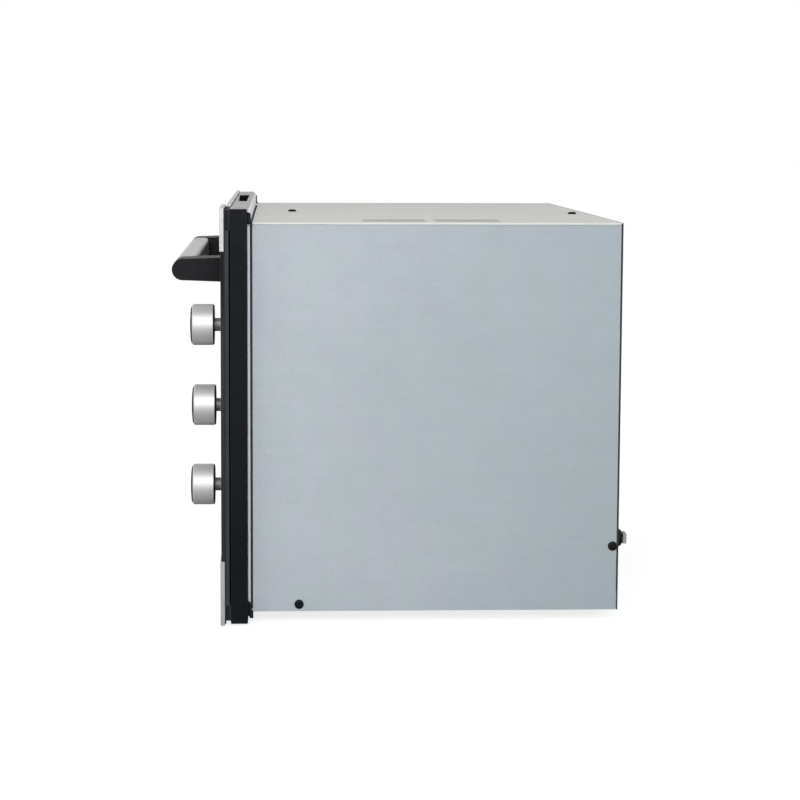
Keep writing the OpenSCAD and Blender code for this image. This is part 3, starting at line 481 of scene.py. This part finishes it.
def paint_slot_shade(piece):
    """The cut walls of the ventilation slots get the near-black back sheet: painted shade for the dark inside
    of the slots.
    """
    piece.data.materials.append(MATERIALS["back_sheet"])
    low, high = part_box("casing_top")
    left, right = (high[0] - distance for distance in SLOT_FIELD_X)
    for face in piece.data.polygons:
        middle = face.center
        inside = left < middle.x < right and low[1] + SLOT_FIELD_Y < middle.y < high[1] - SLOT_FIELD_Y
        if inside and abs(face.normal.z) < 0.8:
            face.material_index = 1


def box_into(bm, centre, size, turn):
    """Add a small block; turn is about Y through the block's centre."""
    made = bmesh.ops.create_cube(bm, size=1)
    bmesh.ops.scale(bm, vec=size, verts=made["verts"])
    bmesh.ops.rotate(bm, matrix=Quaternion((0, 1, 0), turn).to_matrix(), verts=made["verts"])
    bmesh.ops.translate(bm, vec=centre, verts=made["verts"])


def text_mesh(text, place):
    """Flat figures that face the front, centred on place."""
    curve = bpy.data.curves.new("figures", "FONT")
    curve.body = text
    curve.size = FIGURE_SIZE
    curve.extrude = FIGURE_DEPTH
    curve.align_x = "CENTER"
    curve.align_y = "CENTER"
    holder = bpy.data.objects.new("figures", curve)
    bpy.context.scene.collection.objects.link(holder)
    bpy.context.view_layer.update()
    mesh = bpy.data.meshes.new_from_object(holder.evaluated_get(bpy.context.evaluated_depsgraph_get()))
    bpy.data.objects.remove(holder)
    mesh.transform(Quaternion((1, 0, 0), math.radians(90)).to_matrix().to_4x4())
    mesh.transform(Matrix.Translation(place))
    return mesh


def knob_circle(knob):
    """The centre and radius of a knob's sleeve."""
    low, high = (Vector(corner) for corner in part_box(knob + "_knob_sleeve"))
    return (low + high) / 2, (high.x - low.x) / 2


def around(centre, reach, angle, y):
    """The place at a clockwise angle from the top of a circle that faces the front."""
    return (centre.x + reach * math.sin(angle), y, centre.z + reach * math.cos(angle))


def inked_piece(name, bm, body, slot):
    mesh = bpy.data.meshes.new(name)
    bm.to_mesh(mesh)
    bm.free()
    add_piece(name, mesh, body, slot, INK)


def dial(knob, sweep, labels):
    """Ticks and figures on the glass around a knob; the first label is at lower left."""
    centre, radius = knob_circle(knob)
    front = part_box("control_glass")[0][1] - INK_OFFSET
    bm = bmesh.new()
    steps = 2 * (len(labels) - 1)
    for i in range(steps + 1):
        angle = math.radians(sweep * (i / steps - 0.5))
        length = TICK_LENGTHS[i % 2]
        place = around(centre, radius + TICK_GAP + length / 2, angle, front)
        box_into(bm, place, (TICK_WIDTH, INK_DEPTH, length), angle)
    for i, label in enumerate(labels):
        angle = math.radians(sweep * (i / (len(labels) - 1) - 0.5))
        part = text_mesh(label, around(centre, radius + FIGURE_GAP, angle, front))
        bm.from_mesh(part)
        bpy.data.meshes.remove(part)
    inked_piece(knob + "_dial", bm, "oven", "brushed_steel")


def knob_pointer(knob, sweep):
    """A raised white bar on the knob's cap, which points at the dial's first figure at rest."""
    centre, radius = knob_circle(knob)
    cap_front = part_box(knob + "_knob_core")[0][1]
    bm = bmesh.new()
    angle = math.radians(-sweep / 2)
    place = around(centre, radius * 0.5, angle, cap_front + POINTER_RISE)
    box_into(bm, place, (POINTER_WIDTH, POINTER_DEPTH, radius * 0.62), angle)
    bmesh.ops.bevel(bm, geom=bm.edges[:], offset=POINTER_CORNER, segments=2, affect="EDGES")
    inked_piece(knob + "_pointer", bm, knob + "_knob", "knob_metal")


# painted shade on the walls of the ventilation slots
paint_slot_shade(bpy.data.objects["casing_top_finished"])
# sweep in degrees, as each knob's joint allows, and the figures of its dial
DIALS = {
    "temperature": (270, ("0", "50", "100", "150", "200", "250")),
    "function": (270, ("0", "1", "2", "3", "4")),
    "timer": (300, ("0", "15", "30", "45", "60", "75", "90")),
}
for knob_name, (sweep_angle, figures) in DIALS.items():
    dial(knob_name, sweep_angle, figures)
    knob_pointer(knob_name, sweep_angle)
bpy.data.objects["cord_clamp_finished"].data.materials[0] = moulded_plastic(
    "clamp_plastic", (0.3, 0.31, 0.32), (0.42, 0.43, 0.44), wear=(0.6, 0.6, 0.6))


# ---------------------------------------------------------------- stage, light and camera

FLOOR_REACH = 30
FLOOR_GLOW = 0.8                    # seen by the camera only
# the room is white behind the oven and dim behind the camera, which keeps black parts black
ROOM_DEPTH = {"From_Min": -0.2, "From_Max": 0.75, "To_Min": 1.0, "To_Max": 0.07}
# and it's dimmer above and below than at the oven's height
ROOM_HEIGHT = {"From_Min": 0.25, "From_Max": 0.9, "To_Min": 1.0, "To_Max": 0.45}
# name: place, target, size, watts
LIGHTS = {
    "key": ((3.2, -0.4, 1.7), (0.25, -0.05, 0.2), 2.4, 94),
    "rear_fill": ((1.5, 2.2, 0.7), (0.2, 0, 0.2), 1.6, 9),
    "front_fill": ((1.4, -2.3, 0.6), (0.2, -0.1, 0.2), 1.6, 12),
}
# fitted to points measured in the photo
CAMERA_PLACE = (2.2533, -0.1569, 0.4776)
CAMERA_ANGLES = (-2.036, -5.787, 0.16)      # turn, tilt and roll in degrees
CAMERA_LENS = 90.342
CAMERA_SENSOR = 36
CAMERA_SHIFT = (0.062, -0.08)


def lay_floor():
    """A pale floor under the oven, white to the camera."""
    level = cad_bounds[0][2]
    corners = [(x * FLOOR_REACH, y * FLOOR_REACH, level) for x, y in ((-1, -1), (1, -1), (1, 1), (-1, 1))]
    floor_mesh = bpy.data.meshes.new("floor")
    floor_mesh.from_pydata(corners, [], [(0, 1, 2, 3)])
    floor = bpy.data.objects.new("floor", floor_mesh)
    bpy.context.scene.collection.objects.link(floor)
    paint = Shader("floor_paint", roughness=0.9)
    paint.set("Emission Color", (1, 1, 1, 1))
    paint.color(paint.ramp(paint.noise(3, detail=4), (0.3, (0.34, 0.34, 0.34)), (0.7, (0.36, 0.36, 0.36))))
    seen = paint.node("LightPath").outputs["Is Camera Ray"]
    paint.link(paint.math("MULTIPLY", seen, FLOOR_GLOW), paint.bsdf.inputs["Emission Strength"])
    floor_mesh.materials.append(paint.mat)


def light_room():
    """The world: white to the camera, and soft light of uneven strength on the oven."""
    world = bpy.data.worlds.new("studio")
    bpy.context.scene.world = world
    world.use_nodes = True
    tree = world.node_tree
    link = tree.links.new
    split = new_node(tree, "SeparateXYZ")
    link(new_node(tree, "TexCoord").outputs["Generated"], split.inputs["Vector"])
    depth = fill(new_node(tree, "MapRange"), **ROOM_DEPTH)
    link(split.outputs["X"], depth.inputs["Value"])
    level = new_node(tree, "Math", operation="ABSOLUTE")
    link(split.outputs["Z"], level.inputs[0])
    height = fill(new_node(tree, "MapRange"), **ROOM_HEIGHT)
    link(level.outputs[0], height.inputs["Value"])
    light = new_node(tree, "Math", operation="MULTIPLY")
    link(depth.outputs["Result"], light.inputs[0])
    link(height.outputs["Result"], light.inputs[1])
    seen = new_node(tree, "Math", operation="MAXIMUM")
    link(new_node(tree, "LightPath").outputs["Is Camera Ray"], seen.inputs[0])
    link(light.outputs[0], seen.inputs[1])
    background = fill(tree.nodes["Background"], Color=(1, 1, 1, 1))
    link(seen.outputs[0], background.inputs["Strength"])


def area_light(name, place, target, size, power):
    data = bpy.data.lights.new(name, "AREA")
    data.shape = "SQUARE"
    data.size = size
    data.energy = power
    light = bpy.data.objects.new(name, data)
    bpy.context.scene.collection.objects.link(light)
    light.location = place
    light.rotation_euler = (Vector(target) - Vector(place)).to_track_quat("-Z", "Y").to_euler()


def camera():
    data = bpy.data.cameras.new("camera")
    data.lens = CAMERA_LENS
    data.sensor_width = CAMERA_SENSOR
    data.shift_x, data.shift_y = CAMERA_SHIFT
    made = bpy.data.objects.new("camera", data)
    bpy.context.scene.collection.objects.link(made)
    made.location = CAMERA_PLACE
    turn, tilt, roll = (math.radians(angle) for angle in CAMERA_ANGLES)
    ahead = Vector((-math.cos(tilt) * math.cos(turn), -math.cos(tilt) * math.sin(turn), math.sin(tilt)))
    facing = ahead.to_track_quat("-Z", "Y") @ Quaternion((0, 0, 1), roll)
    made.rotation_euler = facing.to_euler()
    bpy.context.scene.camera = made


lay_floor()
light_room()
for light_name, settings in LIGHTS.items():
    area_light(light_name, *settings)
camera()
bpy.context.scene.view_settings.view_transform = "Standard"
